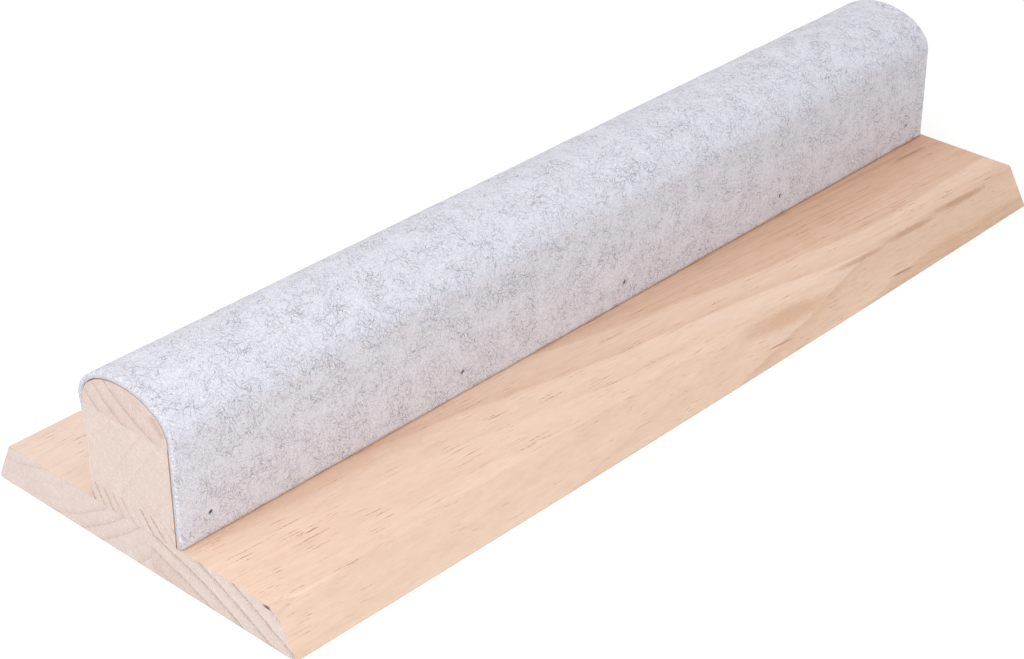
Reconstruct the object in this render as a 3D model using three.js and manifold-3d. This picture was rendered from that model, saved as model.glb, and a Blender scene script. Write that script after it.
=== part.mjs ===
// Seam pressing tool. A pine base board with bevelled long edges carries a laminated pine rail with
// an arched top, and one sheet of wool felt is wrapped over the rail and held with brads.
// Millimetres, +Z up. X runs along the rail and -Y is the front. The origin is the middle of the underside.
import * as THREE from 'three';
import { mergeVertices } from 'three/addons/utils/BufferGeometryUtils.js';
import Module from 'manifold-3d';

const wasm = await Module();
wasm.setup();

// Base board: two staves glued edge to edge, then planed and bevelled as one board. Its width is taken
// across the underside, to the corners before they are eased.
const LENGTH = 400;
const BASE_WIDTH = 151;
const BASE_THICKNESS = 15.5;
const BEVEL_RUN = 10;
const REAR_LOWER_EASING = 3;
const FRONT_LOWER_EASING = 0.8;
const UPPER_EDGE_EASING = 0.8;
const STAVE_JOINT_Y = -7.5;

// Rail: three laminations, the top one planed to an arch above a short straight shoulder
const RAIL_WIDTH = 41;
const BOTTOM_LAMINATION = 7.2;
const CORE_LAMINATION = 29;
const TOP_SHOULDER = 1.8;
const ARCH_RISE = 12.5;

// Felt: one sheet over back, arch and front, cut a little short of the rail at both ends
const FELT_THICKNESS = 2.3;
const FELT_GLUE_FILM = 0.2;
const FELT_HEM_GAP = 0.3;
const FELT_SETBACK = 1.2;

// Brads along the lower edge of the felt, placed by eye: each drifts from its even step
const BRAD_DIAMETER = 1.2;
const BRAD_LENGTH = 15;
const BRAD_POINT = 1.6;
const BRAD_HEAD_DIAMETER = 2;
const BRAD_HEAD_THICKNESS = 0.6;
const BRAD_CLEARANCE = 0.15;
const BRAD_HEIGHT = 8.4;
const BRAD_END_MARGIN = 13;
const BRAD_DRIFT = [0, 19, 10, 9, 0];
const FELT_UNDER_BRAD = 1;

// Countersunk screws, driven from the underside through the base and up into the rail
const SCREW_DIAMETER = 4;
const SCREW_LENGTH = 40;
const SCREW_POINT = 5;
const SCREW_HEAD_DIAMETER = 8;
const SCREW_HEAD_HEIGHT = 2.6;
const SCREW_HEAD_RIM = 0.4;
const SCREW_SINK = 0.8;
const SCREW_CLEARANCE = 0.2;
const SCREW_COUNT = 3;
const SCREW_END_MARGIN = 50;
const DRIVE_SPAN = 4.2;
const DRIVE_WIDTH = 1;
const DRIVE_DEPTH = 1.5;

// Fineness of the round forms
const EASING_STEPS = 6;
const ARCH_STEPS = 20;
const BRAD_SIDES = 12;
const SCREW_SIDES = 24;

// Sizes that follow from the driving dimensions
const BASE_HALF = BASE_WIDTH / 2;
const BASE_TOP_HALF = BASE_HALF - BEVEL_RUN;
const RAIL_HALF = RAIL_WIDTH / 2;
const CORE_FOOT = BASE_THICKNESS + BOTTOM_LAMINATION;
const TOP_FOOT = CORE_FOOT + CORE_LAMINATION;
const ARCH_SPRING = TOP_FOOT + TOP_SHOULDER;
const FELT_INNER_HALF = RAIL_HALF + FELT_GLUE_FILM;
const BRAD_HEAD_TOP = FELT_INNER_HALF + FELT_UNDER_BRAD + BRAD_HEAD_THICKNESS;

const planedPine = new THREE.MeshStandardMaterial({ color: 0xefd0ba, roughness: 0.6, metalness: 0 });
const greyFelt = new THREE.MeshStandardMaterial({ color: 0xd8d5dc, roughness: 0.95, metalness: 0 });
const brightBradSteel = new THREE.MeshStandardMaterial({ color: 0x8a8784, roughness: 0.4, metalness: 1 });
const zincedSteel = new THREE.MeshStandardMaterial({ color: 0xb9b7ae, roughness: 0.35, metalness: 1 });

// Section through corners given as [y, z, easing]: a curve starts and ends that far from each corner.
function easedSection(corners) {
  const section = new THREE.Shape();
  corners.forEach(([y, z, easing], index) => {
    const corner = new THREE.Vector2(y, z);
    const eased = ([sideY, sideZ]) => {
      const along = new THREE.Vector2(sideY, sideZ).sub(corner).setLength(easing);
      return along.add(corner);
    };
    const start = eased(corners.at(index - 1));
    const end = eased(corners[(index + 1) % corners.length]);
    if (index === 0) section.moveTo(start.x, start.y);
    else section.lineTo(start.x, start.y);
    if (easing > 0) section.quadraticCurveTo(y, z, end.x, end.y);
  });
  return section;
}

// A square-edged lamination from one height to another
function flatLamination(foot, thickness) {
  return easedSection([
    [-RAIL_HALF, foot, 0],
    [RAIL_HALF, foot, 0],
    [RAIL_HALF, foot + thickness, 0],
    [-RAIL_HALF, foot + thickness, 0],
  ]);
}

// The top lamination: a short straight shoulder on each side, then half an ellipse
function archedLamination() {
  const section = new THREE.Shape();
  section.moveTo(RAIL_HALF, TOP_FOOT);
  section.lineTo(RAIL_HALF, ARCH_SPRING);
  section.absellipse(0, ARCH_SPRING, RAIL_HALF, ARCH_RISE, 0, Math.PI, false);
  section.lineTo(-RAIL_HALF, TOP_FOOT);
  return section;
}

// The felt's section goes up the rear, over the arch and down the front, and returns along the glue.
function feltSection() {
  const hem = BASE_THICKNESS + FELT_HEM_GAP;
  const outerHalf = FELT_INNER_HALF + FELT_THICKNESS;
  const innerRise = ARCH_RISE + FELT_GLUE_FILM;
  const outerRise = innerRise + FELT_THICKNESS;
  const section = new THREE.Shape();
  section.moveTo(outerHalf, hem);
  section.lineTo(outerHalf, ARCH_SPRING);
  section.absellipse(0, ARCH_SPRING, outerHalf, outerRise, 0, Math.PI, false);
  section.lineTo(-outerHalf, hem);
  section.lineTo(-FELT_INNER_HALF, hem);
  section.lineTo(-FELT_INNER_HALF, ARCH_SPRING);
  section.absellipse(0, ARCH_SPRING, FELT_INNER_HALF, innerRise, Math.PI, 0, true);
  section.lineTo(FELT_INNER_HALF, hem);
  return section;
}

// Sections are drawn across the tool in Y and Z, and sawn to length along X.
const ALONG_X = new THREE.Matrix4().makeBasis(
  new THREE.Vector3(0, 1, 0),
  new THREE.Vector3(0, 0, 1),
  new THREE.Vector3(1, 0, 0),
);

function sawn(section, fromX, toX, curveSegments) {
  const settings = { depth: toX - fromX, bevelEnabled: false, curveSegments };
  const geometry = new THREE.ExtrudeGeometry(section, settings);
  return geometry.applyMatrix4(ALONG_X).translate(fromX, 0, 0);
}

// A closed geometry as a solid: only places are kept, shared corners are merged and flat slivers dropped.
function solidOf(geometry) {
  const bare = geometry.clone();
  bare.deleteAttribute('normal');
  bare.deleteAttribute('uv');
  const merged = mergeVertices(bare);
  const corners = merged.index.array;
  const triangles = [];
  for (let first = 0; first < corners.length; first += 3) {
    const [a, b, c] = corners.slice(first, first + 3);
    if (a !== b && b !== c && c !== a) triangles.push(a, b, c);
  }
  return new wasm.Manifold(new wasm.Mesh({
    numProp: 3,
    vertProperties: merged.attributes.position.array,
    triVerts: new Uint32Array(triangles),
  }));
}

function geometryOf(solid) {
  const { vertProperties, triVerts } = solid.getMesh();
  const geometry = new THREE.BufferGeometry();
  geometry.setAttribute('position', new THREE.BufferAttribute(vertProperties, 3));
  geometry.setIndex(new THREE.BufferAttribute(triVerts, 1));
  geometry.computeVertexNormals();
  return geometry;
}

function turned(outline, sides) {
  return new THREE.LatheGeometry(outline.map(([radius, along]) => new THREE.Vector2(radius, along)), sides);
}

// A brad on the Y axis, driven towards -Y, with the top of its head at zero. With room all round and
// above the head, the same outline is the hole that it sits in.
function bradForm(room, above) {
  const shank = BRAD_DIAMETER / 2 + room;
  const head = BRAD_HEAD_DIAMETER / 2 + room;
  const seat = -BRAD_HEAD_THICKNESS - room;
  const tip = -BRAD_LENGTH - room;
  const outline = [
    [0, tip],
    [shank, tip + BRAD_POINT],
    [shank, seat],
    [head, seat],
    [head, above],
    [0, above],
  ];
  return turned(outline, BRAD_SIDES);
}

// A countersunk screw standing on its head at zero. With room all round and below the head, the same
// outline is its hole, whose countersink flares on to the underside.
function screwForm(room, below) {
  const shank = SCREW_DIAMETER / 2 + room;
  const head = SCREW_HEAD_DIAMETER / 2 + room;
  const tip = SCREW_LENGTH + room;
  const outline = [
    [0, -below],
    [head + below, -below],
    [head, SCREW_HEAD_RIM],
    [shank, SCREW_HEAD_HEIGHT],
    [shank, tip - SCREW_POINT],
    [0, tip],
  ];
  return turned(outline, SCREW_SIDES).rotateX(Math.PI / 2);
}

// The screw with its cross-shaped drive recess
function screwGeometry() {
  let screw = solidOf(screwForm(0, 0));
  for (const quarterTurn of [0, Math.PI / 2]) {
    const slot = new THREE.BoxGeometry(DRIVE_SPAN, DRIVE_WIDTH, 2 * DRIVE_DEPTH).rotateZ(quarterTurn);
    screw = screw.subtract(solidOf(slot));
  }
  return geometryOf(screw);
}

// Even steps along X between two margins, each with its own drift
function stations(count, margin, drift) {
  const run = LENGTH - 2 * margin;
  return Array.from({ length: count }, (_, index) => -run / 2 + (index * run) / (count - 1) + drift(index));
}

// Every fastener: its name, its place, the geometry it is made from and the hole that it needs
const fasteners = [];

for (const [side, facing] of [['front', -1], ['rear', 1]]) {
  const places = stations(BRAD_DRIFT.length, BRAD_END_MARGIN, (index) => -facing * BRAD_DRIFT[index]);
  places.forEach((x, index) => {
    const brad = new THREE.Mesh(bradForm(0, 0), brightBradSteel);
    brad.name = `felt_brad_${side}_${index + 1}`;
    brad.position.set(x, facing * BRAD_HEAD_TOP, BASE_THICKNESS + BRAD_HEIGHT);
    brad.rotation.z = facing > 0 ? 0 : Math.PI;
    fasteners.push({ mesh: brad, hole: bradForm(BRAD_CLEARANCE, FELT_THICKNESS) });
  });
}

stations(SCREW_COUNT, SCREW_END_MARGIN, () => 0).forEach((x, index) => {
  const screw = new THREE.Mesh(screwGeometry(), zincedSteel);
  screw.name = `rail_screw_${index + 1}`;
  screw.position.set(x, 0, SCREW_SINK);
  fasteners.push({ mesh: screw, hole: screwForm(SCREW_CLEARANCE, 2 * SCREW_SINK) });
});

const holes = fasteners.map(({ mesh, hole }) => {
  mesh.updateMatrix();
  return solidOf(hole.applyMatrix4(mesh.matrix));
});

// A piece drilled for every fastener that crosses it
function drilled(name, geometry, material) {
  const solid = holes.reduce((rest, hole) => rest.subtract(hole), solidOf(geometry));
  const mesh = new THREE.Mesh(geometryOf(solid), material);
  mesh.name = name;
  return mesh;
}

const rearStave = easedSection([
  [STAVE_JOINT_Y, 0, 0],
  [BASE_HALF, 0, REAR_LOWER_EASING],
  [BASE_TOP_HALF, BASE_THICKNESS, UPPER_EDGE_EASING],
  [STAVE_JOINT_Y, BASE_THICKNESS, 0],
]);
const frontStave = easedSection([
  [STAVE_JOINT_Y, BASE_THICKNESS, 0],
  [-BASE_TOP_HALF, BASE_THICKNESS, UPPER_EDGE_EASING],
  [-BASE_HALF, 0, FRONT_LOWER_EASING],
  [STAVE_JOINT_Y, 0, 0],
]);
const NEAR_END = -LENGTH / 2;
const FAR_END = LENGTH / 2;

const base = new THREE.Group();
base.add(
  drilled('base_stave_rear', sawn(rearStave, NEAR_END, FAR_END, EASING_STEPS), planedPine),
  drilled('base_stave_front', sawn(frontStave, NEAR_END, FAR_END, EASING_STEPS), planedPine),
);

const bottomLamination = flatLamination(BASE_THICKNESS, BOTTOM_LAMINATION);
const coreLamination = flatLamination(CORE_FOOT, CORE_LAMINATION);
const rail = new THREE.Group();
rail.add(
  drilled('rail_bottom_lamination', sawn(bottomLamination, NEAR_END, FAR_END, ARCH_STEPS), planedPine),
  drilled('rail_core_lamination', sawn(coreLamination, NEAR_END, FAR_END, ARCH_STEPS), planedPine),
  drilled('rail_top_lamination', sawn(archedLamination(), NEAR_END, FAR_END, ARCH_STEPS), planedPine),
);

const feltSheet = sawn(feltSection(), NEAR_END + FELT_SETBACK, FAR_END - FELT_SETBACK, ARCH_STEPS);
const cover = new THREE.Group();
cover.add(drilled('felt_cover', feltSheet, greyFelt));

const fixings = new THREE.Group();
fixings.add(...fasteners.map(({ mesh }) => mesh));

const seamPressingTool = new THREE.Group();
seamPressingTool.add(base, rail, cover, fixings);

export default seamPressingTool;
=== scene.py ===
# Seam pressing tool: a pine base of two staves, a laminated pine rail, the screws that join them, and
# a wool felt cover with its brads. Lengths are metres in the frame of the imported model.
import math

import bmesh
import bpy
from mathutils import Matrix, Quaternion, Vector, noise


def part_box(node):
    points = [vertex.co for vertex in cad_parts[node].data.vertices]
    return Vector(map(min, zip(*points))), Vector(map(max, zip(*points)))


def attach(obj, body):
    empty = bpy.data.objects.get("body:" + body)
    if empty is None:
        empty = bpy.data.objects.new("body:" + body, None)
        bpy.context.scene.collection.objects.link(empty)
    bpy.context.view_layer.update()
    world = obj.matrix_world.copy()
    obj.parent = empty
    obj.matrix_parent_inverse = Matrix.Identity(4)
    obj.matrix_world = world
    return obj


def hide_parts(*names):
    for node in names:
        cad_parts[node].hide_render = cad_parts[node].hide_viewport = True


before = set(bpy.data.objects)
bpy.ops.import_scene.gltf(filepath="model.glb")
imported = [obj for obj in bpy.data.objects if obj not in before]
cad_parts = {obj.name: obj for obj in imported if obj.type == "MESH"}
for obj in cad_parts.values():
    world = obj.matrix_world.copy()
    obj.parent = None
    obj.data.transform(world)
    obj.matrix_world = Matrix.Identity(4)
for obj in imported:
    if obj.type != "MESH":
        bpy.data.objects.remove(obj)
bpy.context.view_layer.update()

# Camera
# A short telephoto lens looks down on the tool from its near end, a little to the front. It is rolled
# by a third of a degree, and the picture just holds the tool.
camera_place = Vector((-0.56101, -0.50153, 0.44349))
camera_aim = Vector((-0.04995, -0.02267, 0.03))
camera_roll = math.radians(-0.3)
camera_data = bpy.data.cameras.new("camera")
camera_data.lens = 82.72
camera_data.sensor_width = 36
camera = bpy.data.objects.new("camera", camera_data)
camera.location = camera_place
camera.rotation_mode = "QUATERNION"
looking = (camera_aim - camera_place).to_track_quat("-Z", "Y")
camera.rotation_quaternion = looking @ Quaternion((0, 0, 1), camera_roll)
bpy.context.scene.collection.objects.link(camera)
bpy.context.scene.camera = camera

# Base staves
# Two pine staves are glued edge to edge, planed as one board and bevelled along both long edges.
# The wood is bare and sanded, the ends are sawn square, and the free edges are just broken.
MM = 0.001
# Points closer than this count as one
HAIR = 0.01 * MM
edge_break = 0.35 * MM
edge_steps = 3
glue_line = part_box("base_stave_rear")[0].y
half_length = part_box("base_stave_rear")[1].x
# The bevels begin at the top's half width and are sanded in most at the ends
top_half = 64.5 * MM
bevel_run = 10.5 * MM
sanded_off_rear = 2.3 * MM
sanded_off_front = 1.25 * MM
sanding_cuts = 9
# Three corners of the scar that a lost splinter left
chip_on_top = Vector((-200, -58.9, 15.5)) * MM
chip_on_bevel = Vector((-200, -66.9, 13.3)) * MM
chip_on_edge = Vector((-188, -65.5, 15.5)) * MM


def linear(code):
    """A hex colour as linear red, green, blue and alpha."""
    parts = [int(code[start:start + 2], 16) / 255 for start in (1, 3, 5)]
    return [part / 12.92 if part <= 0.04045 else ((part + 0.055) / 1.055) ** 2.4 for part in parts] + [1]


def grey(value):
    """A ramp colour of one linear value."""
    return (value, value, value, 1)


def new_material(name):
    """An empty material and its node tree."""
    material = bpy.data.materials.new(name)
    material.use_nodes = True
    material.node_tree.nodes.clear()
    return material, material.node_tree


def add_node(tree, kind, inputs, **settings):
    """Adds a node, sets it up, and links or sets its inputs. A colour Mix takes its two colours on
    inputs 6 and 7 and gives the result on output 2. A ramp is a list of positions and colours."""
    node = tree.nodes.new(kind)
    ramp = settings.pop("ramp", None)
    for name, value in settings.items():
        setattr(node, name, value)
    for name, value in inputs.items():
        if isinstance(value, bpy.types.NodeSocket):
            tree.links.new(value, node.inputs[name])
        else:
            node.inputs[name].default_value = value
    if ramp:
        stops = node.color_ramp.elements
        while len(stops) < len(ramp):
            stops.new(0.5)
        for stop, (position, colour) in zip(stops, ramp):
            stop.position = position
            stop.color = colour
    return node


def pine(name, pith, first_ring, ring_width, bend, seed, contrast, end_contrast, turn=0.0, heart_radius=0.0,
         heart=0.0, blemishes_and_shade=(), planed_colours=("#f9ddc7", "#f4d1b8"),
         sawn_colours=("#d2c2ba", "#cbb8ae")):
    """Pale pine with growth rings round a pith line that lies beside the piece, given in mm. The same
    rings show as thin arcs on the sawn ends and as broad soft bands on the planed faces, where
    resin canals add short brown dashes. Wood inside the heart radius is browner. A blemish, or a line of
    painted shade, has a place, half lengths, a colour and a strength."""
    material, tree = new_material(name)
    place = add_node(tree, "ShaderNodeTexCoord", {})
    in_mm = add_node(tree, "ShaderNodeMapping", {
        "Vector": place.outputs["Object"], "Scale": (1000, 1000, 1000)})
    along = add_node(tree, "ShaderNodeSeparateXYZ", {0: in_mm.outputs[0]})
    # The trunk bends along the board
    share = add_node(tree, "ShaderNodeMapRange", {
        "Value": along.outputs["X"], "From Min": -200, "From Max": 200})
    trunk = add_node(tree, "ShaderNodeValToRGB", {"Fac": share.outputs[0]}, ramp=[
        (0.0, grey(0.0)), (0.16, grey(0.12)), (0.34, grey(0.33)), (0.5, grey(0.56)), (0.64, grey(0.73)),
        (0.78, grey(1.0)), (0.9, grey(0.95)), (1.0, grey(0.94))])
    trunk.color_ramp.interpolation = "B_SPLINE"
    pith_height = add_node(tree, "ShaderNodeMath", {
        0: trunk.outputs["Color"], 1: bend, 2: pith[1]}, operation="MULTIPLY_ADD")
    pith_line = add_node(tree, "ShaderNodeCombineXYZ", {
        "X": along.outputs["X"], "Y": pith[0], "Z": pith_height.outputs[0]})
    from_pith = add_node(tree, "ShaderNodeVectorMath", {
        0: in_mm.outputs[0], 1: pith_line.outputs[0]}, operation="SUBTRACT")
    # Slow wander of the rings, longest along the grain
    grain = add_node(tree, "ShaderNodeMapping", {
        "Vector": in_mm.outputs[0], "Location": (977 * seed, 0, 0), "Rotation": (0, 0, turn)})
    wander_at = add_node(tree, "ShaderNodeMapping", {
        "Vector": grain.outputs[0], "Scale": (1 / 60, 1 / 18, 1 / 18)})
    wander = add_node(tree, "ShaderNodeTexNoise", {
        "Vector": wander_at.outputs[0], "Scale": 1, "Detail": 3, "Roughness": 0.5})
    off_centre = add_node(tree, "ShaderNodeMapRange", {
        "Value": wander.outputs["Fac"], "To Min": -1.2, "To Max": 1.2})
    radius = add_node(tree, "ShaderNodeVectorMath", {0: from_pith.outputs[0]}, operation="LENGTH")
    wandered = add_node(tree, "ShaderNodeMath", {
        0: radius.outputs["Value"], 1: off_centre.outputs[0]}, operation="ADD")
    ring = add_node(tree, "ShaderNodeMapRange", {
        "Value": wandered.outputs[0], "From Min": first_ring, "From Max": first_ring + ring_width},
        clamp=False)
    phase = add_node(tree, "ShaderNodeMath", {0: ring.outputs[0]}, operation="FRACT")
    year = add_node(tree, "ShaderNodeMath", {0: ring.outputs[0]}, operation="FLOOR")
    seeded_year = add_node(tree, "ShaderNodeMath", {0: year.outputs[0], 1: 10.3 * seed}, operation="ADD")
    weather = add_node(tree, "ShaderNodeTexWhiteNoise", {
        "W": seeded_year.outputs[0]}, noise_dimensions="1D")
    vigour = add_node(tree, "ShaderNodeMapRange", {
        "Value": weather.outputs["Value"], "To Min": 0.15, "To Max": 1})
    # Soft bands on the planed faces and thin lines on the ends
    band = add_node(tree, "ShaderNodeValToRGB", {"Fac": phase.outputs[0]}, ramp=[
        (0.0, grey(0.6)), (0.05, grey(0.0)), (0.4, grey(0.02)), (0.75, grey(0.5)), (0.97, grey(1.0))])
    line = add_node(tree, "ShaderNodeValToRGB", {"Fac": phase.outputs[0]}, ramp=[
        (0.0, grey(0.5)), (0.05, grey(0.0)), (0.6, grey(0.06)), (0.84, grey(0.4)), (0.95, grey(1.0))])
    late_band = add_node(tree, "ShaderNodeMath", {
        0: band.outputs["Color"], 1: vigour.outputs[0]}, operation="MULTIPLY")
    late_line = add_node(tree, "ShaderNodeMath", {
        0: line.outputs["Color"], 1: vigour.outputs[0]}, operation="MULTIPLY")
    sapwood = add_node(tree, "ShaderNodeMapRange", {
        "Value": wandered.outputs[0], "From Min": heart_radius + 8, "From Max": heart_radius + 13,
        "To Min": contrast, "To Max": 0.3 * contrast})
    band_share = add_node(tree, "ShaderNodeMath", {
        0: late_band.outputs[0], 1: sapwood.outputs[0]}, operation="MULTIPLY")
    torn = add_node(tree, "ShaderNodeTexNoise", {
        "Vector": in_mm.outputs[0], "Scale": 1 / 0.7, "Detail": 2, "Roughness": 0.7})
    dotted = add_node(tree, "ShaderNodeMapRange", {
        "Value": torn.outputs["Fac"], "From Min": 0.6, "From Max": 0.4, "To Min": 0.55 * end_contrast,
        "To Max": 1.35 * end_contrast})
    line_share = add_node(tree, "ShaderNodeMath", {
        0: late_line.outputs[0], 1: dotted.outputs[0]}, operation="MULTIPLY", use_clamp=True)
    within = add_node(tree, "ShaderNodeMapRange", {
        "Value": wandered.outputs[0], "From Min": heart_radius + 6.4, "From Max": heart_radius - 12})
    deeper = add_node(tree, "ShaderNodeValToRGB", {"Fac": within.outputs[0]}, ramp=[
        (0.0, grey(0.0)), (0.03, grey(0.12)), (0.34, grey(0.12)), (0.38, grey(0.5)), (0.95, grey(1.0))])
    hearted = add_node(tree, "ShaderNodeMath", {0: deeper.outputs["Color"], 1: heart}, operation="MULTIPLY")
    # Fine fibre, small mottle and slow drift of colour
    patterns = {}
    for pattern, length, width, detail in (
            ("fibre", 3.5, 0.4, 3), ("mottle", 9, 2.6, 3), ("drift", 90, 13, 2), ("streak", 70, 1.3, 2)):
        pattern_at = add_node(tree, "ShaderNodeMapping", {
            "Vector": grain.outputs[0], "Scale": (1 / length, 1 / width, 1 / width)})
        patterns[pattern] = add_node(tree, "ShaderNodeTexNoise", {
            "Vector": pattern_at.outputs[0], "Scale": 1, "Detail": detail,
            "Roughness": 0.55}).outputs["Fac"]
    # Resin canals, hair-thin broken dashes along the grain and dots on the ends, drawn about twice as wide
    # as real ones so that they show
    canal_run = 22
    canal_apart = 0.65
    waver_at = add_node(tree, "ShaderNodeMapping", {
        "Vector": grain.outputs[0], "Scale": (1 / 7, 1 / 3, 1 / 3)})
    waver = add_node(tree, "ShaderNodeTexNoise", {"Vector": waver_at.outputs[0], "Scale": 1, "Detail": 1})
    wavered = add_node(tree, "ShaderNodeVectorMath", {
        0: waver.outputs["Color"], 1: (0, 0.9, 0.9), 2: grain.outputs[0]}, operation="MULTIPLY_ADD")
    canal_at = add_node(tree, "ShaderNodeMapping", {
        "Vector": wavered.outputs[0], "Scale": (1 / canal_run, 1 / canal_apart, 1 / canal_apart)})
    canal = add_node(tree, "ShaderNodeTexVoronoi", {"Vector": canal_at.outputs[0], "Scale": 1})
    from_canal = add_node(tree, "ShaderNodeVectorMath", {
        0: canal_at.outputs[0], 1: canal.outputs["Position"]}, operation="SUBTRACT")
    along_canal = add_node(tree, "ShaderNodeSeparateXYZ", {0: from_canal.outputs[0]})
    from_middle = add_node(tree, "ShaderNodeMath", {0: along_canal.outputs["X"]}, operation="ABSOLUTE")
    off_line = add_node(tree, "ShaderNodeVectorMath", {
        0: from_canal.outputs[0], 1: (0, canal_apart, canal_apart)}, operation="MULTIPLY")
    beside = add_node(tree, "ShaderNodeVectorMath", {0: off_line.outputs[0]}, operation="LENGTH")
    canal_pick = add_node(tree, "ShaderNodeSeparateColor", {"Color": canal.outputs["Color"]})
    scarce = add_node(tree, "ShaderNodeMapRange", {
        "Value": patterns["drift"], "From Min": 0.35, "From Max": 0.65, "To Min": 0.75, "To Max": 0.15})
    canal_depth = add_node(tree, "ShaderNodeMapRange", {
        "Value": canal_pick.outputs["Red"], "From Min": scarce.outputs[0], "To Max": 1})
    canal_half = add_node(tree, "ShaderNodeMapRange", {
        "Value": canal_pick.outputs["Green"], "To Min": 0.15, "To Max": 0.55})
    canal_fade = add_node(tree, "ShaderNodeMapRange", {
        "Value": from_middle.outputs[0], "From Min": canal_half.outputs[0], "From Max": 0.1,
        "To Max": canal_depth.outputs[0]})
    canal_mark = add_node(tree, "ShaderNodeMapRange", {
        "Value": beside.outputs["Value"], "From Min": 0.2, "From Max": 0.08,
        "To Max": canal_fade.outputs[0]})
    dots_at = add_node(tree, "ShaderNodeMapping", {
        "Vector": grain.outputs[0], "Scale": (1 / 1.6, 1 / 0.4, 1 / 0.4)})
    dots = add_node(tree, "ShaderNodeTexNoise", {"Vector": dots_at.outputs[0], "Scale": 1, "Detail": 1})
    broken = add_node(tree, "ShaderNodeMapRange", {
        "Value": dots.outputs["Fac"], "From Min": 0.4, "From Max": 0.58, "To Min": 0.25, "To Max": 1})
    facing = add_node(tree, "ShaderNodeSeparateXYZ", {0: place.outputs["Normal"]})
    cut_length = add_node(tree, "ShaderNodeMapRange", {
        "Value": facing.outputs["Z"], "From Min": 0.6, "From Max": 0.95, "To Min": 0.5, "To Max": 1})
    canal_length = add_node(tree, "ShaderNodeMath", {
        0: broken.outputs[0], 1: cut_length.outputs[0]}, operation="MULTIPLY")
    canal_show = add_node(tree, "ShaderNodeMath", {
        0: canal_mark.outputs[0], 1: canal_length.outputs[0]}, operation="MULTIPLY", use_clamp=True)
    # Planed faces
    early = add_node(tree, "ShaderNodeMix", {
        "Factor": patterns["drift"], 6: linear(planed_colours[0]),
        7: linear(planed_colours[1])}, data_type="RGBA")
    brown = add_node(tree, "ShaderNodeMix", {
        "Factor": hearted.outputs[0], 6: early.outputs[2], 7: linear("#d5a380")}, data_type="RGBA")
    banded = add_node(tree, "ShaderNodeMix", {
        "Factor": band_share.outputs[0], 6: brown.outputs[2], 7: linear("#cf9e7c")}, data_type="RGBA")
    planed = add_node(tree, "ShaderNodeMix", {
        "Factor": canal_show.outputs[0], 6: banded.outputs[2], 7: linear("#94603c")}, data_type="RGBA")
    # Sawn ends
    end_early = add_node(tree, "ShaderNodeMix", {
        "Factor": patterns["drift"], 6: linear(sawn_colours[0]),
        7: linear(sawn_colours[1])}, data_type="RGBA")
    end_brown = add_node(tree, "ShaderNodeMix", {
        "Factor": hearted.outputs[0], 6: end_early.outputs[2], 7: linear("#c5afa6")}, data_type="RGBA")
    end_lined = add_node(tree, "ShaderNodeMix", {
        "Factor": line_share.outputs[0], 6: end_brown.outputs[2], 7: linear("#86655a")}, data_type="RGBA")
    in_late = add_node(tree, "ShaderNodeMath", {
        0: late_band.outputs[0], 1: 0.5, 2: 0.2}, operation="MULTIPLY_ADD")
    end_dots = add_node(tree, "ShaderNodeMath", {
        0: canal_mark.outputs[0], 1: in_late.outputs[0]}, operation="MULTIPLY", use_clamp=True)
    sawn = add_node(tree, "ShaderNodeMix", {
        "Factor": end_dots.outputs[0], 6: end_lined.outputs[2], 7: linear("#7b5a49")}, data_type="RGBA")
    end_on = add_node(tree, "ShaderNodeMath", {0: facing.outputs["X"]}, operation="ABSOLUTE")
    is_end = add_node(tree, "ShaderNodeMapRange", {
        "Value": end_on.outputs[0], "From Min": 0.2, "From Max": 0.45})
    wood = add_node(tree, "ShaderNodeMix", {
        "Factor": is_end.outputs[0], 6: planed.outputs[2], 7: sawn.outputs[2]}, data_type="RGBA")
    # Torn fibre and the marks of the saw teeth show in patches on the ends. A wave of scale 1 repeats
    # every 2 pi / 20.
    tooth_pitch = 0.9
    saw_scale = 2 * math.pi / 20 / tooth_pitch
    torn_patch = add_node(tree, "ShaderNodeMapRange", {
        "Value": patterns["mottle"], "From Min": 0.42, "From Max": 0.62, "To Min": 0.18, "To Max": 0.5})
    torn_share = add_node(tree, "ShaderNodeMath", {
        0: torn_patch.outputs[0], 1: is_end.outputs[0]}, operation="MULTIPLY")
    uneven = add_node(tree, "ShaderNodeMapRange", {
        "Value": patterns["fibre"], "From Min": 0.25, "From Max": 0.75, "To Min": 0.972, "To Max": 1.028})
    mottled = add_node(tree, "ShaderNodeMapRange", {
        "Value": patterns["mottle"], "From Min": 0.3, "From Max": 0.7, "To Min": -0.03, "To Max": 0.03})
    streak_depth = add_node(tree, "ShaderNodeMath", {
        0: hearted.outputs[0], 1: 0.18, 2: 0.02}, operation="MULTIPLY_ADD")
    streaked = add_node(tree, "ShaderNodeMapRange", {
        "Value": patterns["streak"], "From Min": 0.5, "From Max": 0.32, "To Max": streak_depth.outputs[0]})
    blotched = add_node(tree, "ShaderNodeMath", {
        0: uneven.outputs[0], 1: mottled.outputs[0]}, operation="ADD")
    lightness = add_node(tree, "ShaderNodeMath", {
        0: blotched.outputs[0], 1: streaked.outputs[0]}, operation="SUBTRACT")
    saw_at = add_node(tree, "ShaderNodeMapping", {
        "Vector": in_mm.outputs[0], "Rotation": (0.25, 0, 0), "Scale": (0, saw_scale, saw_scale)})
    saw = add_node(tree, "ShaderNodeTexWave", {
        "Vector": saw_at.outputs[0], "Scale": 1, "Distortion": 1.5, "Detail": 1}, bands_direction="Y")
    toothed = add_node(tree, "ShaderNodeMath", {
        0: saw.outputs["Fac"], 1: 0.35, 2: torn.outputs["Fac"]}, operation="MULTIPLY_ADD")
    tear = add_node(tree, "ShaderNodeMapRange", {
        "Value": toothed.outputs[0], "From Min": 0.17, "From Max": 1.17, "To Min": -0.5, "To Max": 0.5})
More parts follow.
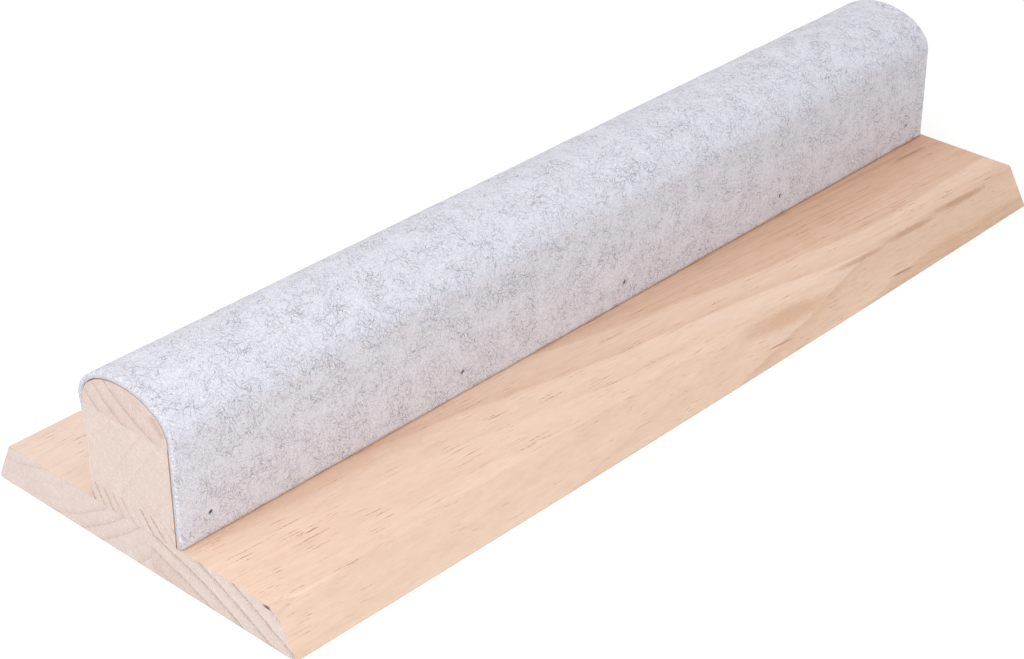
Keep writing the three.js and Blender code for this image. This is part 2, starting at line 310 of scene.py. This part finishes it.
    roughened = add_node(tree, "ShaderNodeMath", {
        0: tear.outputs[0], 1: torn_share.outputs[0], 2: lightness.outputs[0]}, operation="MULTIPLY_ADD")
    richness = add_node(tree, "ShaderNodeMapRange", {
        "Value": roughened.outputs[0], "From Min": 0.9, "From Max": 1.1, "To Min": 1.12, "To Max": 0.88})
    shaded = add_node(tree, "ShaderNodeHueSaturation", {
        "Color": wood.outputs[2], "Saturation": richness.outputs[0], "Value": roughened.outputs[0]})
    # Blemishes and lines of painted shade lie along the grain, with ragged edges
    colour = shaded.outputs[0]
    for spot, half_lengths, spot_colour, strength in blemishes_and_shade:
        from_spot = add_node(tree, "ShaderNodeVectorMath", {
            0: in_mm.outputs[0], 1: spot}, operation="SUBTRACT")
        with_grain = add_node(tree, "ShaderNodeMapping", {
            "Vector": from_spot.outputs[0], "Rotation": (0, 0, turn)})
        sized = add_node(tree, "ShaderNodeVectorMath", {
            0: with_grain.outputs[0], 1: half_lengths}, operation="DIVIDE")
        distance = add_node(tree, "ShaderNodeVectorMath", {0: sized.outputs[0]}, operation="LENGTH")
        ragged = add_node(tree, "ShaderNodeMath", {
            0: patterns["fibre"], 1: 0.7, 2: distance.outputs["Value"]}, operation="MULTIPLY_ADD")
        spotted = add_node(tree, "ShaderNodeMapRange", {
            "Value": ragged.outputs[0], "From Min": 1.35, "From Max": 0.75, "To Max": strength})
        colour = add_node(tree, "ShaderNodeMix", {
            "Factor": spotted.outputs[0], 6: colour, 7: linear(spot_colour)}, data_type="RGBA").outputs[2]
    relief = add_node(tree, "ShaderNodeBump", {
        "Height": patterns["fibre"], "Strength": 0.3, "Distance": 0.05 * MM})
    surface = add_node(tree, "ShaderNodeBsdfPrincipled", {
        "Base Color": colour, "Roughness": 0.62, "IOR": 1.5, "Normal": relief.outputs[0]})
    add_node(tree, "ShaderNodeOutputMaterial", {"Surface": surface.outputs[0]})
    return material


def sand_in(form):
    """Sands the bevels in towards the ends, where a board is gripped and rubbed most."""
    outer_edges = []
    for edge in form.edges:
        if edge.calc_length() > half_length and min(abs(end.co.y) for end in edge.verts) > top_half:
            outer_edges.append(edge)
    bmesh.ops.subdivide_edges(form, edges=outer_edges, cuts=sanding_cuts, use_grid_fill=True)
    for corner in form.verts:
        down_bevel = min(max((abs(corner.co.y) - top_half) / bevel_run, 0), 1)
        from_middle = corner.co.x / half_length
        if corner.co.y > 0:
            corner.co.y -= sanded_off_rear * down_bevel * from_middle ** 2
        else:
            corner.co.y += sanded_off_front * down_bevel * from_middle ** 2


def sand_and_chip(form):
    """The front stave has also lost a splinter where its upper edge meets the near end."""
    lost = (chip_on_bevel - chip_on_top).cross(chip_on_edge - chip_on_top)
    whole = form.verts[:] + form.edges[:] + form.faces[:]
    cut = bmesh.ops.bisect_plane(form, geom=whole, dist=HAIR, plane_co=chip_on_top,
                                 plane_no=lost.normalized(), clear_outer=True)
    rim = [edge for edge in cut["geom_cut"] if isinstance(edge, bmesh.types.BMEdge)]
    bmesh.ops.contextual_create(form, geom=rim)
    sand_in(form)


def place_wood(node, name, material, on_glue, shape=None):
    """A copy of a sawn node, shaped where it has to be, with its free end edges broken to a small round."""
    low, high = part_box(node)
    form = bmesh.new()
    form.from_mesh(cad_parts[node].data)
    bmesh.ops.remove_doubles(form, verts=form.verts[:], dist=HAIR)
    bmesh.ops.dissolve_limit(form, angle_limit=math.radians(1), verts=form.verts[:], edges=form.edges[:])
    if shape:
        shape(form)
    free = []
    for edge in form.edges:
        ends = [corner.co for corner in edge.verts]
        sawn_end = any(all(abs(end.x - limit) < HAIR for end in ends) for limit in (low.x, high.x))
        if sawn_end and not all(on_glue(end) for end in ends):
            free.append(edge)
    bmesh.ops.bevel(form, geom=free, offset=edge_break, offset_type="OFFSET", segments=edge_steps,
                    profile=0.5, affect="EDGES", material=-1)
    for face in form.faces:
        face.smooth = True
    mesh = bpy.data.meshes.new(name)
    form.to_mesh(mesh)
    form.free()
    mesh.set_sharp_from_angle(angle=math.radians(40))
    mesh.materials.append(material)
    piece = bpy.data.objects.new(name, mesh)
    bpy.context.scene.collection.objects.link(piece)
    piece.modifiers.new("planes stay flat", "WEIGHTED_NORMAL").keep_sharp = True
    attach(piece, "root")
    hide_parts(node)


def at_stave_joint(end):
    """Whether a corner lies on the glue line between the staves."""
    return abs(end.y - glue_line) < HAIR


rear_pine = pine("planed pine, rear stave", pith=(78, 105.6), first_ring=101.5, ring_width=5, bend=6,
                 seed=47, contrast=0.35, end_contrast=0.27, planed_colours=("#f4ddcd", "#eed1bd"),
                 sawn_colours=("#d2c4be", "#cbbab2"))
# Marks in mm: the dark of the scar, brown sweeps and streaks on the top, and bands and lines along the
# bevel, where the heartwood comes through. The lines along the bevel's upper edge are painted shade, darker
# where the top turns down.
front_marks_and_edge_shade = [
    ((-200, -62.4, 14.5), (0.7, 2.6, 0.7), "#5e3a2e", 0.9),
    ((-150, -24, 15.5), (75, 9, 3), "#d8a885", 0.4),
    ((181, -29.7, 15.5), (13, 1, 1), "#a8744f", 0.6),
    ((50, -68.5, 11), (34, 3.5, 5), "#d7a27b", 0.5),
    ((40, -72.4, 4.8), (34, 0.4, 0.6), "#b2784e", 0.6),
    ((120, -73, 3.8), (40, 0.45, 0.7), "#a0683f", 0.65),
    # Painted shade along the bevel's upper edge, in the far half
    ((92, -65.6, 14.6), (27, 1.2, 1.6), "#b98462", 0.45),
    ((128, -66, 14.4), (27, 1.4, 1.6), "#b98462", 0.5),
    ((164, -66.2, 14.4), (30, 1.6, 1.8), "#b98462", 0.5),
    ((150, -70, 8), (85, 7, 10), "#d8a885", 0.2),
    ((-150, -52, 15.5), (75, 15, 1.5), "#d8a885", 0.12)]
# Painted shade: fainter darker lines along the bevel's upper edge, in the near half
for along in (-165, -115, -65, -15, 35):
    front_marks_and_edge_shade.append(((along, -65.3, 15.3), (32, 1.4, 0.7), "#d8a885", 0.18))
front_pine = pine("planed pine, front stave", pith=(41, -181), first_ring=197, ring_width=6.1, bend=25,
                  seed=84, contrast=0.3, end_contrast=0.52, turn=0.06, heart_radius=197, heart=0.6,
                  blemishes_and_shade=front_marks_and_edge_shade, sawn_colours=("#d3c5be", "#ccbbb2"))
place_wood("base_stave_rear", "rear_stave", rear_pine, at_stave_joint, sand_in)
place_wood("base_stave_front", "front_stave", front_pine, at_stave_joint, sand_and_chip)

# Rail laminations
# Three strips of pine are glued in a stack and planed to one width, and the top one is rounded to an
# arch. Their sawn ends are flush with the base and stay bare.
glue_films = [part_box(node)[0].z for node in ("rail_bottom_lamination", "rail_core_lamination",
                                             "rail_top_lamination")]


def at_lamination_joint(end):
    """Whether a corner lies on a glue film of the rail."""
    return any(abs(end.z - film) < HAIR for film in glue_films)


# Glue and painted shade of the gap brown the sides under the felt, which show as a thin line at its near
# edge
glue_and_gap_shade = ("#d8ae90", "#cba084")
bottom_pine = pine("planed pine, bottom lamination", pith=(-66, 66), first_ring=79.7, ring_width=3.9, bend=4,
                   seed=262, contrast=0.4, end_contrast=0.9, planed_colours=glue_and_gap_shade)
core_pine = pine("planed pine, core lamination", pith=(-119, -53), first_ring=120, ring_width=6.5, bend=5,
                 seed=4, contrast=0.4, end_contrast=0.15, planed_colours=glue_and_gap_shade)
# A brown resin stain follows the front shoulder of the near end
resin_stain = []
for across, height in ((-14.6, 60.2), (-16.5, 58.5), (-18.2, 56.4)):
    resin_stain.append(((-200, across, height), (3, 2, 1.8), "#b39067", 0.45))
top_pine = pine("planed pine, top lamination", pith=(-40.6, 119.1), first_ring=72.9, ring_width=6.4, bend=5,
                seed=106, contrast=0.5, end_contrast=0.34, blemishes_and_shade=resin_stain, planed_colours=glue_and_gap_shade,
                sawn_colours=("#cfbdb5", "#c8b3a9"))
place_wood("rail_bottom_lamination", "rail_bottom", bottom_pine, at_lamination_joint)
place_wood("rail_core_lamination", "rail_core", core_pine, at_lamination_joint)
place_wood("rail_top_lamination", "rail_top", top_pine, at_lamination_joint)

# Rail screws
# Three countersunk wood screws of zinc-plated steel hold the rail to the base. They are driven from
# below with their heads sunk under the base's face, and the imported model's own meshes show them.
spangle_size = 1.2 * MM


def zinc_plated_steel():
    """Zinc gives a pale grey metal gloss, which the spangle of its crystals breaks up."""
    material, tree = new_material("zinc-plated steel")
    place = add_node(tree, "ShaderNodeTexCoord", {})
    spangle = add_node(tree, "ShaderNodeTexNoise", {
        "Vector": place.outputs["Object"], "Scale": 1 / spangle_size, "Detail": 3})
    polish = add_node(tree, "ShaderNodeMapRange", {
        "Value": spangle.outputs["Fac"], "To Min": 0.25, "To Max": 0.5})
    plating = add_node(tree, "ShaderNodeMix", {
        "Factor": spangle.outputs["Fac"], 6: linear("#cfccc0"), 7: linear("#b3b0a6")}, data_type="RGBA")
    surface = add_node(tree, "ShaderNodeBsdfPrincipled", {
        "Base Color": plating.outputs[2], "Metallic": 1, "Roughness": polish.outputs[0]})
    add_node(tree, "ShaderNodeOutputMaterial", {"Surface": surface.outputs[0]})
    return material


zinc = zinc_plated_steel()
for number in (1, 2, 3):
    screw_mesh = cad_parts[f"rail_screw_{number}"].data
    screw_mesh.materials.clear()
    screw_mesh.materials.append(zinc)

# Felt cover
# One sheet of pressed wool felt, white wool with dark grey fibres through it, is wrapped over the rail
# from base to base and glued. Its cut edges are soft, and every brad draws it into a small pit.
felt_low, felt_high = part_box("felt_cover")
near_setback = 0.1 * MM
felt_low.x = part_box("rail_top_lamination")[0].x + near_setback
felt_length = felt_high.x - felt_low.x
felt_thickness = 2.3 * MM
arch_rise = 15 * MM
spring = felt_high.z - arch_rise
half_width = felt_high.y
# Faces of the sheet, finer at the cut ends and round each brad
felt_pitch = 2 * MM
wrap_pitch = 1.3 * MM
arch_steps = 48
cut_reach = 4 * MM
pit_reaches = (4 * MM, 2.2 * MM)
# The pit that a brad draws
pit_depth = 1.15 * MM
pit_floor = 0.4 * MM
pit_mouth = 1.15 * MM
# Cut edges, rounded, frayed and a little loose from the rail
soft_corner = 0.8 * MM
corner_steps = 4
fray = 0.1 * MM
fray_grain = 1.3 * MM
fray_reach = 2.5 * MM
edge_lift = 0.2 * MM
lift_reach = 3 * MM
# Hems and the near rear corner, cut by hand
hem_wander = 0.9 * MM
hem_reach = 6 * MM
rear_corner_setback = 3 * MM
rear_corner_reach = 40 * MM
# Swells of the face, which is set in so far that they stay within the solid
broad_swell = 0.1 * MM
fine_swell = 0.05 * MM
face_set_in = 0.12 * MM
brads = [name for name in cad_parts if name.startswith("felt_brad")]
pits = []
for name in brads:
    pit = (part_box(name)[0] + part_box(name)[1]) / 2
    pit.y = math.copysign(half_width, pit.y)
    pits.append(pit)

form = bmesh.new()
wrap = form.verts.layers.float.new("wrap")
foot = form.verts.new((felt_low.x, -half_width, felt_low.z))
shoulder = bmesh.ops.extrude_vert_indiv(form, verts=[foot])["verts"][0]
shoulder.co.z = spring
arch = bmesh.ops.spin(form, geom=[shoulder], cent=(felt_low.x, 0, spring), axis=(1, 0, 0), angle=-math.pi,
                      steps=arch_steps)
for corner in form.verts:
    if corner.co.z > spring:
        corner.co.z = spring + (corner.co.z - spring) * arch_rise / half_width
far_shoulder = [item for item in arch["geom_last"] if isinstance(item, bmesh.types.BMVert)]
far_foot = bmesh.ops.extrude_vert_indiv(form, verts=far_shoulder)["verts"][0]
far_foot.co.z = felt_low.z
sides = [edge for edge in form.edges if edge.calc_length() > arch_rise]
bmesh.ops.subdivide_edges(form, edges=sides, cuts=round((spring - felt_low.z) / wrap_pitch))
# Distance round the sheet, from the front hem to the rear hem
corner = min(form.verts, key=lambda vert: (round(vert.co.y, 6), vert.co.z))
before = None
felt_width = 0
while corner:
    corner[wrap] = felt_width
    ahead = [edge for edge in corner.link_edges if edge.other_vert(corner) is not before]
    before, corner = corner, ahead[0].other_vert(corner) if ahead else None
    felt_width += ahead[0].calc_length() if ahead else 0
drawn = bmesh.ops.extrude_edge_only(form, edges=form.edges[:])["geom"]
bmesh.ops.translate(form, verts=[item for item in drawn if isinstance(item, bmesh.types.BMVert)],
                    vec=(felt_length, 0, 0))
lengthwise = [edge for edge in form.edges if edge.calc_length() > felt_length / 2]
bmesh.ops.subdivide_edges(form, edges=lengthwise, cuts=round(felt_length / felt_pitch), use_grid_fill=True)


def to_cut_end(point):
    """How far a point is from the nearer cut end."""
    return min(point.x - felt_low.x, felt_high.x - point.x)


ends = [edge for edge in form.edges if all(to_cut_end(corner.co) < cut_reach for corner in edge.verts)]
bmesh.ops.subdivide_edges(form, edges=ends, cuts=1, use_grid_fill=True)
for reach in pit_reaches:
    close = [edge for edge in form.edges
             if any(all((corner.co - pit).length < reach for corner in edge.verts) for pit in pits)]
    bmesh.ops.subdivide_edges(form, edges=close, cuts=2, use_grid_fill=True)
bmesh.ops.recalc_face_normals(form, faces=form.faces[:])
if sum(face.normal.z for face in form.faces) < 0:
    bmesh.ops.reverse_faces(form, faces=form.faces[:])
bmesh.ops.solidify(form, geom=form.faces[:], thickness=felt_thickness)


def is_outer(point):
    """Whether a point of the sheet lies nearer its outer face than its glued one."""
    middle = felt_thickness / 2
    if point.z < spring:
        return abs(point.y) > half_width - middle
    return math.hypot(point.y / (half_width - middle), (point.z - spring) / (arch_rise - middle)) > 1


outer_rim = []
for edge in form.edges:
    if len(edge.link_faces) == 2 and edge.calc_face_angle() > math.radians(60):
        on_hem = all(corner.co.z < felt_low.z + HAIR for corner in edge.verts)
        if not on_hem and all(is_outer(corner.co) for corner in edge.verts):
            outer_rim.append(edge)
bmesh.ops.bevel(form, geom=outer_rim, offset=soft_corner, offset_type="OFFSET", segments=corner_steps,
                profile=0.5, affect="EDGES", material=-1)
form.normal_update()
for corner in form.verts:
    flat = Vector((corner.co.x, corner[wrap], 0)) / MM
    to_cut = to_cut_end(corner.co)
    ragged = fray * max(1 - to_cut / fray_reach, 0) * noise.noise_vector(corner.co / fray_grain)
    if is_outer(corner.co):
        sunk = 0
        for pit in pits:
            if pit.y * corner.co.y > 0:
                away = math.hypot(corner.co.x - pit.x, corner.co.z - pit.z)
                share = min(max((pit_mouth - away) / (pit_mouth - pit_floor), 0), 1)
                sunk = max(sunk, pit_depth * share * share * (3 - 2 * share))
        swell = broad_swell * noise.noise(flat / 9) + fine_swell * noise.noise(flat / 3.5) - face_set_in
        corner.co += corner.normal * (swell - sunk) + ragged
    else:
        upward = max(corner.co.z - spring, 0) * (half_width / arch_rise) ** 2
        outward = Vector((0, corner.co.y, upward)).normalized()
        corner.co += outward * edge_lift * max(1 - to_cut / lift_reach, 0)
        if to_cut < HAIR:
            corner.co.x += abs(ragged.x) if corner.co.x < 0 else -abs(ragged.x)
    # The hem leaves the base here and there
    hem_share = max(1 - (corner.co.z - felt_low.z) / hem_reach, 0)
    hem_rise = 0.5 * noise.noise(Vector((corner.co.x / (9 * MM), corner.co.y, 0)))
    hem_rise += 0.35 * noise.noise(Vector((corner.co.x / (2.2 * MM), corner.co.y, 7)))
    corner.co.z += hem_wander * max(hem_rise, 0) * hem_share
    # The near rear corner is cut a little out of square
    if corner.co.y > 0 and corner.co.z < spring:
        slant = (spring - corner.co.z) / (spring - felt_low.z)
        beside = max(1 - (corner.co.x - felt_low.x) / rear_corner_reach, 0)
        corner.co.x += rear_corner_setback * slant * beside
sheet_map = form.loops.layers.uv.new("sheet")
for face in form.faces:
    face.smooth = True
    on_cut = abs(face.normal.x) > 0.7
    for loop in face.loops:
        round_edge = felt_thickness if on_cut and not is_outer(loop.vert.co) else 0
        loop[sheet_map].uv = (loop.vert.co.x - felt_low.x - round_edge, loop.vert[wrap])
felt_mesh = bpy.data.meshes.new("felt")
form.to_mesh(felt_mesh)
form.free()
felt = bpy.data.objects.new("felt", felt_mesh)
bpy.context.scene.collection.objects.link(felt)


def pressed_wool_felt():
    """Pressed wool gives a dull, soft white under a net of dark and pale fibres that lie closer in some
    clouds than in others, with a short nap that breaks up the light."""
    material, tree = new_material("pressed wool felt")
    place = add_node(tree, "ShaderNodeTexCoord", {})
    sheet = add_node(tree, "ShaderNodeUVMap", {}, uv_map="sheet")
    in_mm = add_node(tree, "ShaderNodeMapping", {
        "Vector": sheet.outputs[0], "Scale": (1000, 1000, 1000)})
    # Clouds where more dark wool was carded in
    cloud = add_node(tree, "ShaderNodeTexNoise", {
        "Vector": in_mm.outputs[0], "Scale": 1 / 9, "Detail": 4, "Roughness": 0.6}, noise_dimensions="2D")
    cloud_share = add_node(tree, "ShaderNodeMapRange", {
        "Value": cloud.outputs["Fac"], "From Min": 0.34, "From Max": 0.66, "To Min": 0.36, "To Max": 1.05})
    # Fibres lie in layers. A layer is cells some millimetres wide, and each holds one fibre that is turned
    # and bowed its own way. Wool fibre is about 0.04 mm thick and is drawn coarser, so that it shows.
    fibre_half = 0.115
    fibre_core = 0.02
    wave = add_node(tree, "ShaderNodeTexNoise", {
        "Vector": in_mm.outputs[0], "Scale": 1 / 3, "Detail": 1}, noise_dimensions="2D")
    waved = add_node(tree, "ShaderNodeVectorMath", {
        0: wave.outputs["Color"], 1: (1.1, 1.1, 0), 2: in_mm.outputs[0]}, operation="MULTIPLY_ADD")
    layers = {"dark": (1.7, 2.4, 3, 2.1, 3.6, 2.7, 4.4, 7.5, 5.6, 9.5, 1.9, 3.3, 2.2, 4, 2.9, 5),
              "pale": (2.2, 3.2, 4.6, 2, 3.7, 6.5, 2.8, 2.5)}
    strands = {}
    for wool_kind, cell_sizes in layers.items():
        for number, cell_size in enumerate(cell_sizes):
            layer = add_node(tree, "ShaderNodeMapping", {
                "Vector": waved.outputs[0], "Location": (310 * number, 170 * cell_size, 0),
                "Rotation": (0, 0, number)})
            cell = add_node(tree, "ShaderNodeTexVoronoi", {
                "Vector": layer.outputs[0], "Scale": 1 / cell_size}, voronoi_dimensions="2D")
            from_middle = add_node(tree, "ShaderNodeVectorMath", {
                0: layer.outputs[0], 1: cell.outputs["Position"]}, operation="SUBTRACT")
            chance = add_node(tree, "ShaderNodeSeparateColor", {"Color": cell.outputs["Color"]})
            lie = add_node(tree, "ShaderNodeMath", {
                0: chance.outputs["Red"], 1: math.pi}, operation="MULTIPLY")
            turned = add_node(tree, "ShaderNodeVectorRotate", {
                "Vector": from_middle.outputs[0], "Angle": lie.outputs[0]}, rotation_type="Z_AXIS")
            across = add_node(tree, "ShaderNodeSeparateXYZ", {0: turned.outputs[0]})
            bow = add_node(tree, "ShaderNodeMapRange", {
                "Value": chance.outputs["Green"], "To Min": -0.7 / cell_size, "To Max": 0.7 / cell_size})
            square = add_node(tree, "ShaderNodeMath", {0: across.outputs["X"], 1: 2}, operation="POWER")
            bowed = add_node(tree, "ShaderNodeMath", {
                0: square.outputs[0], 1: bow.outputs[0], 2: across.outputs["Y"]}, operation="MULTIPLY_ADD")
            away = add_node(tree, "ShaderNodeMath", {0: bowed.outputs[0]}, operation="ABSOLUTE")
            depth = add_node(tree, "ShaderNodeMapRange", {
                "Value": chance.outputs["Blue"], "From Min": 0.25, "To Max": 1.05})
            end_fade = add_node(tree, "ShaderNodeMapRange", {
                "Value": square.outputs[0], "From Min": 0, "From Max": (0.6 * cell_size) ** 2,
                "To Min": depth.outputs[0], "To Max": 0})
            mark = add_node(tree, "ShaderNodeMapRange", {
                "Value": away.outputs[0], "From Min": fibre_half, "From Max": fibre_core,
                "To Max": end_fade.outputs[0]})
            others = strands[wool_kind].outputs[0] if wool_kind in strands else 0.0
            strands[wool_kind] = add_node(tree, "ShaderNodeMath", {
                0: mark.outputs[0], 1: others}, operation="MAXIMUM", use_clamp=True)
    # The cut ends show fewer dark fibres, from the sheet's inside, and are dimmed where light sinks into the
    # cut fibres. The dimming begins on the rounded corner as painted shade.
    facing = add_node(tree, "ShaderNodeSeparateXYZ", {0: place.outputs["Normal"]})
    end_on = add_node(tree, "ShaderNodeMath", {0: facing.outputs["X"]}, operation="ABSOLUTE")
    off_cut = add_node(tree, "ShaderNodeMapRange", {
        "Value": end_on.outputs[0], "From Min": 0.4, "From Max": 0.8, "To Min": 1, "To Max": 0.6})
    nap = add_node(tree, "ShaderNodeTexNoise", {
        "Vector": in_mm.outputs[0], "Scale": 1 / 0.6, "Detail": 3, "Roughness": 0.7}, noise_dimensions="2D")
    cut_fibre = add_node(tree, "ShaderNodeMapRange", {
        "Value": nap.outputs["Fac"], "From Min": 0.3, "From Max": 0.7, "To Min": 0.6, "To Max": 0.86})
    # Painted shade: the dimming starts on the rounded corner, to damp the highlight that the light leaves
    # there
    cut_dim_and_corner_shade = add_node(tree, "ShaderNodeMapRange", {
        "Value": end_on.outputs[0], "From Min": 0.15, "From Max": 0.8, "To Min": 1,
        "To Max": cut_fibre.outputs[0]})
    # White wool, then the dark fibres, then the pale ones over them
    clouded = add_node(tree, "ShaderNodeMath", {
        0: strands["dark"].outputs[0], 1: cloud_share.outputs[0]}, operation="MULTIPLY")
    dark_share = add_node(tree, "ShaderNodeMath", {
        0: clouded.outputs[0], 1: off_cut.outputs[0]}, operation="MULTIPLY")
    ground = add_node(tree, "ShaderNodeMix", {
        "Factor": cloud_share.outputs[0], 6: linear("#f0f0fb"), 7: linear("#e8e7f2")}, data_type="RGBA")
    flecked = add_node(tree, "ShaderNodeMix", {
        "Factor": dark_share.outputs[0], 6: ground.outputs[2], 7: linear("#55525c")}, data_type="RGBA")
    pale_share = add_node(tree, "ShaderNodeMath", {
        0: strands["pale"].outputs[0], 1: 0.75}, operation="MULTIPLY")
    melange = add_node(tree, "ShaderNodeMix", {
        "Factor": pale_share.outputs[0], 6: flecked.outputs[2], 7: linear("#ffffff")}, data_type="RGBA")
    nap_light = add_node(tree, "ShaderNodeMapRange", {
        "Value": nap.outputs["Fac"], "From Min": 0.25, "From Max": 0.75, "To Min": 0.84, "To Max": 1.16})
    # The nap's tone, the dimmed cut and the painted shade on its corner scale the colour together
    nap_dim = add_node(tree, "ShaderNodeMath", {
        0: nap_light.outputs[0], 1: cut_dim_and_corner_shade.outputs[0]}, operation="MULTIPLY")
    napped = add_node(tree, "ShaderNodeVectorMath", {
        0: melange.outputs[2], "Scale": nap_dim.outputs[0]}, operation="SCALE")
    relief = add_node(tree, "ShaderNodeBump", {
        "Height": nap.outputs["Fac"], "Strength": 0.7, "Distance": 0.25 * MM})
    surface = add_node(tree, "ShaderNodeBsdfPrincipled", {
        "Base Color": napped.outputs[0], "Roughness": 0.95, "Specular IOR Level": 0.2, "Sheen Weight": 0.15,
        "Sheen Roughness": 0.5, "Normal": relief.outputs[0]})
    add_node(tree, "ShaderNodeOutputMaterial", {"Surface": surface.outputs[0]})
    return material


felt_mesh.materials.append(pressed_wool_felt())
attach(felt, "root")
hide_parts("felt_cover")

# Felt brads
# Small brads of drawn steel wire hold both lower edges of the felt to the rail, five on each side. They
# are driven just below its face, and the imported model's own meshes show them.
tarnish_size = 0.8 * MM


def drawn_steel_wire():
    """Drawn wire gives a small grey glint in each pit, dulled in patches by tarnish."""
    material, tree = new_material("drawn steel wire")
    place = add_node(tree, "ShaderNodeTexCoord", {})
    tarnish = add_node(tree, "ShaderNodeTexNoise", {
        "Vector": place.outputs["Object"], "Scale": 1 / tarnish_size, "Detail": 2})
    wire_colour = add_node(tree, "ShaderNodeMix", {
        "Factor": tarnish.outputs["Fac"], 6: linear("#a09ca4"), 7: linear("#545155")}, data_type="RGBA")
    surface = add_node(tree, "ShaderNodeBsdfPrincipled", {
        "Base Color": wire_colour.outputs[2], "Metallic": 1, "Roughness": 0.4})
    add_node(tree, "ShaderNodeOutputMaterial", {"Surface": surface.outputs[0]})
    return material


wire = drawn_steel_wire()
for name in brads:
    brad_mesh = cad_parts[name].data
    brad_mesh.materials.clear()
    brad_mesh.materials.append(wire)

# Studio
# A white floor keeps the tool's soft shadow. An even white surround gives most of the light, a softbox
# hangs overhead, and a window stands beyond the near end, so the light fades along the tool.
floor_half = 6
floor_lift = 0.4
surround_strength = 0.6
lamps = (("overhead softbox", (0, 0, 1.6), 1.6, 1.6, 5),
         ("window", (-1.05, -0.22, 0.46), 1.25, 0.8, 8.2))


def white_studio_floor():
    """Matt white paint takes the shadow. A glow lifts it to plain white for the camera and for whatever
    mirrors it, and lights nothing else."""
    material, tree = new_material("white studio floor")
    ray = add_node(tree, "ShaderNodeLightPath", {})
    matt = add_node(tree, "ShaderNodeBsdfDiffuse", {"Color": linear("#e8e8e8")})
    mirrored = add_node(tree, "ShaderNodeMath", {
        0: ray.outputs["Is Glossy Ray"], 1: ray.outputs["Is Transmission Ray"]}, operation="ADD")
    seen = add_node(tree, "ShaderNodeMath", {
        0: ray.outputs["Is Camera Ray"], 1: mirrored.outputs[0]}, operation="ADD", use_clamp=True)
    lift = add_node(tree, "ShaderNodeMath", {0: seen.outputs[0], 1: floor_lift}, operation="MULTIPLY")
    glow = add_node(tree, "ShaderNodeEmission", {"Color": (1, 1, 1, 1), "Strength": lift.outputs[0]})
    both = add_node(tree, "ShaderNodeAddShader", {0: matt.outputs[0], 1: glow.outputs[0]})
    add_node(tree, "ShaderNodeOutputMaterial", {"Surface": both.outputs[0]})
    return material


floor_mesh = bpy.data.meshes.new("floor")
form = bmesh.new()
bmesh.ops.create_grid(form, x_segments=1, y_segments=1, size=floor_half)
form.to_mesh(floor_mesh)
form.free()
floor_mesh.materials.append(white_studio_floor())
floor = bpy.data.objects.new("floor", floor_mesh)
bpy.context.scene.collection.objects.link(floor)

surround = bpy.data.worlds.new("surround")
bpy.context.scene.world = surround
surround.use_nodes = True
surround.node_tree.nodes["Background"].inputs["Color"].default_value = (1, 1, 1, 1)
surround.node_tree.nodes["Background"].inputs["Strength"].default_value = surround_strength

for name, spot, width, height, energy in lamps:
    lamp_data = bpy.data.lights.new(name, "AREA")
    lamp_data.shape = "RECTANGLE"
    lamp_data.size = width
    lamp_data.size_y = height
    lamp_data.energy = energy
    lamp = bpy.data.objects.new(name, lamp_data)
    lamp.location = spot
    lamp.rotation_mode = "QUATERNION"
    lamp.rotation_quaternion = (-lamp.location).to_track_quat("-Z", "Y")
    bpy.context.scene.collection.objects.link(lamp)

bpy.context.scene.view_settings.view_transform = "Standard"
